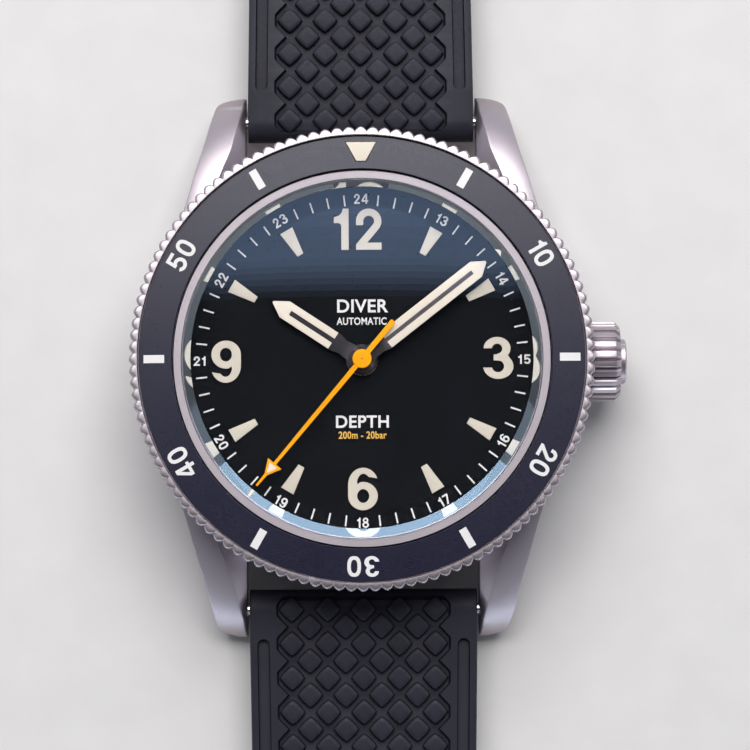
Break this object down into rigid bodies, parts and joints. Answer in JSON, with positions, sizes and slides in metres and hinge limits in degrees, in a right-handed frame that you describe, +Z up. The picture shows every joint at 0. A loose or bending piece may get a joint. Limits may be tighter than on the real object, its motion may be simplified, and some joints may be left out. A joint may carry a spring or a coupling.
{
  "type": "dive watch",
  "caption": "Automatic dive watch with scalloped rotating bezel, domed crystal, black dial, three hands, knurled crown and a moulded rubber strap with a tang buckle.",
  "frame": {"origin": "centre of the case back's flat outer face, which the watch lies on", "axes": "+Z up through the crystal, +Y towards 12 o'clock along the strap, +X towards the crown"},
  "size_m": [0.043, 0.2504, 0.0128],
  "materials": {
    "case_steel": "fine bead-blasted steel",
    "polished_steel": "polished steel",
    "bezel_insert": "matt black anodised, fine grain, pale printed scale",
    "lume": "cream luminous paint",
    "hand_paint": "cream luminous outline over a dark grey metal hand",
    "sapphire": "clear, with a blue anti-reflection coating",
    "seal_rubber": "matt",
    "strap_rubber": "matt moulded rubber",
    "dial_paint": "semi-matt black",
    "seconds_paint": "satin orange-yellow",
    "gear_brass": "machined brass",
    "movement_nickel": "nickel plated, circular grain",
    "spring_steel": "hardened steel",
    "rotor_metal": "plated heavy metal, straight grain",
    "holder_plastic": "moulded plastic"
  },
  "bodies": {
    "case": {"mid_case": "case_steel", "case_back": "case_steel", "case_back_gasket": "seal_rubber", "crystal": "sapphire", "crystal_gasket": "seal_rubber", "inner_flange_ring": "dial_paint", "movement_holder": "holder_plastic", "crown_tube": "case_steel", "bezel_click_spring": "spring_steel", "dial": "dial_paint", "main_plate": "movement_nickel", "train_bridge": "movement_nickel", "balance_cock": "movement_nickel", "bridge_screw_1": "spring_steel", "bridge_screw_2": "spring_steel", "bridge_screw_3": "spring_steel", "rotor_axle": "spring_steel", "spring_bar_12": "polished_steel", "spring_bar_6": "polished_steel"},
    "bezel": {"bezel_ring": "case_steel", "bezel_insert": "bezel_insert", "bezel_lume_marker": "lume", "bezel_gasket": "seal_rubber"},
    "keyless": {"winding_pinion": "spring_steel", "sliding_clutch": "spring_steel"},
    "crown": {"crown": "case_steel", "crown_gasket": "seal_rubber", "winding_stem": "spring_steel"},
    "seconds": {"second_hand": "seconds_paint", "seconds_wheel": "gear_brass"},
    "minutes": {"minute_hand": "hand_paint", "cannon_pinion": "gear_brass"},
    "hours": {"hour_hand": "hand_paint", "hour_wheel": "gear_brass"},
    "minute_wheel": {"minute_wheel": "gear_brass"},
    "great_wheel": {"great_wheel": "gear_brass"},
    "third_wheel": {"third_wheel": "gear_brass"},
    "escape_wheel": {"escape_wheel": "spring_steel"},
    "barrel": {"barrel": "movement_nickel"},
    "pallet_fork": {"pallet_fork": "spring_steel"},
    "balance": {"balance_wheel": "gear_brass", "hairspring": "spring_steel"},
    "rotor": {"rotor": "rotor_metal"},
    "strap_12": {"strap_buckle_side": "strap_rubber", "fixed_keeper": "strap_rubber"},
    "strap_6": {"strap_tail_side": "strap_rubber"},
    "loose_keeper": {"loose_keeper": "strap_rubber"},
    "buckle": {"buckle_frame": "case_steel", "buckle_bar": "polished_steel"},
    "tongue": {"buckle_tongue": "case_steel"}
  },
  "joints": [
    {"name": "bezel_turn", "type": "hinge", "parent": "case", "child": "bezel", "pos_m": [0, 0, 0.0095], "axis": [0, 0, 1], "continuous": true},
    {"name": "crown_turn", "type": "hinge", "parent": "case", "child": "keyless", "pos_m": [0.008, 0, 0.00475], "axis": [1, 0, 0], "continuous": true},
    {"name": "crown_pull", "type": "slide", "parent": "keyless", "child": "crown", "axis": [1, 0, 0], "range_m": [0, 0.002]},
    {"name": "seconds_turn", "type": "hinge", "parent": "case", "child": "seconds", "pos_m": [0, 0, 0.009], "axis": [0, 0, -1], "continuous": true},
    {"name": "minutes_turn", "type": "hinge", "parent": "case", "child": "minutes", "pos_m": [0, 0, 0.0085], "axis": [0, 0, -1], "continuous": true},
    {"name": "hours_turn", "type": "hinge", "parent": "case", "child": "hours", "pos_m": [0, 0, 0.008], "axis": [0, 0, -1], "continuous": true},
    {"name": "minute_wheel_turn", "type": "hinge", "parent": "case", "child": "minute_wheel", "pos_m": [0.00238, -0.00138, 0.0067], "axis": [0, 0, -1], "continuous": true},
    {"name": "great_wheel_turn", "type": "hinge", "parent": "case", "child": "great_wheel", "pos_m": [-0.00429, 0.00394, 0.0047], "axis": [0, 0, -1], "continuous": true},
    {"name": "third_wheel_turn", "type": "hinge", "parent": "case", "child": "third_wheel", "pos_m": [-0.0036, 0, 0.00425], "axis": [0, 0, -1], "continuous": true},
    {"name": "escape_wheel_turn", "type": "hinge", "parent": "case", "child": "escape_wheel", "pos_m": [-0.00125, -0.00343, 0.0046], "axis": [0, 0, -1], "continuous": true},
    {"name": "barrel_turn", "type": "hinge", "parent": "case", "child": "barrel", "pos_m": [-0.00082, 0.00796, 0.004], "axis": [0, 0, -1], "continuous": true},
    {"name": "pallet_fork_rock", "type": "hinge", "parent": "case", "child": "pallet_fork", "pos_m": [0.00074, -0.00554, 0.0046], "axis": [0, 0, 1], "range_deg": [-5, 5]},
    {"name": "balance_swing", "type": "hinge", "parent": "case", "child": "balance", "pos_m": [0.0028, -0.0077, 0.0041], "axis": [0, 0, 1], "range_deg": [-270, 270]},
    {"name": "rotor_swing", "type": "hinge", "parent": "case", "child": "rotor", "pos_m": [0, 0, 0.0023], "axis": [0, 0, 1], "continuous": true},
    {"name": "strap_12_swing", "type": "hinge", "parent": "case", "child": "strap_12", "pos_m": [0, 0.0214, 0.0029], "axis": [-1, 0, 0], "range_deg": [-8, 90]},
    {"name": "strap_6_swing", "type": "hinge", "parent": "case", "child": "strap_6", "pos_m": [0, -0.0214, 0.0029], "axis": [1, 0, 0], "range_deg": [-8, 90]},
    {"name": "loose_keeper_slide", "type": "slide", "parent": "strap_12", "child": "loose_keeper", "axis": [0, 1, 0], "range_m": [-0.01, 0.005]},
    {"name": "buckle_swing", "type": "hinge", "parent": "strap_12", "child": "buckle", "pos_m": [0, 0.0964, 0.00275], "axis": [-1, 0, 0], "range_deg": [-90, 80]},
    {"name": "tongue_swing", "type": "hinge", "parent": "buckle", "child": "tongue", "pos_m": [0, 0.0964, 0.00275], "axis": [1, 0, 0], "range_deg": [0, 120]}
  ],
  "couplings": [
    {"joint": "minutes_turn", "follows": "seconds_turn", "ratio": 0.016667},
    {"joint": "hours_turn", "follows": "seconds_turn", "ratio": 0.0013889},
    {"joint": "minute_wheel_turn", "follows": "seconds_turn", "ratio": -0.0055556},
    {"joint": "great_wheel_turn", "follows": "seconds_turn", "ratio": 0.016667},
    {"joint": "third_wheel_turn", "follows": "seconds_turn", "ratio": -0.13333},
    {"joint": "escape_wheel_turn", "follows": "seconds_turn", "ratio": -12},
    {"joint": "barrel_turn", "follows": "seconds_turn", "ratio": -0.002381}
  ]
}
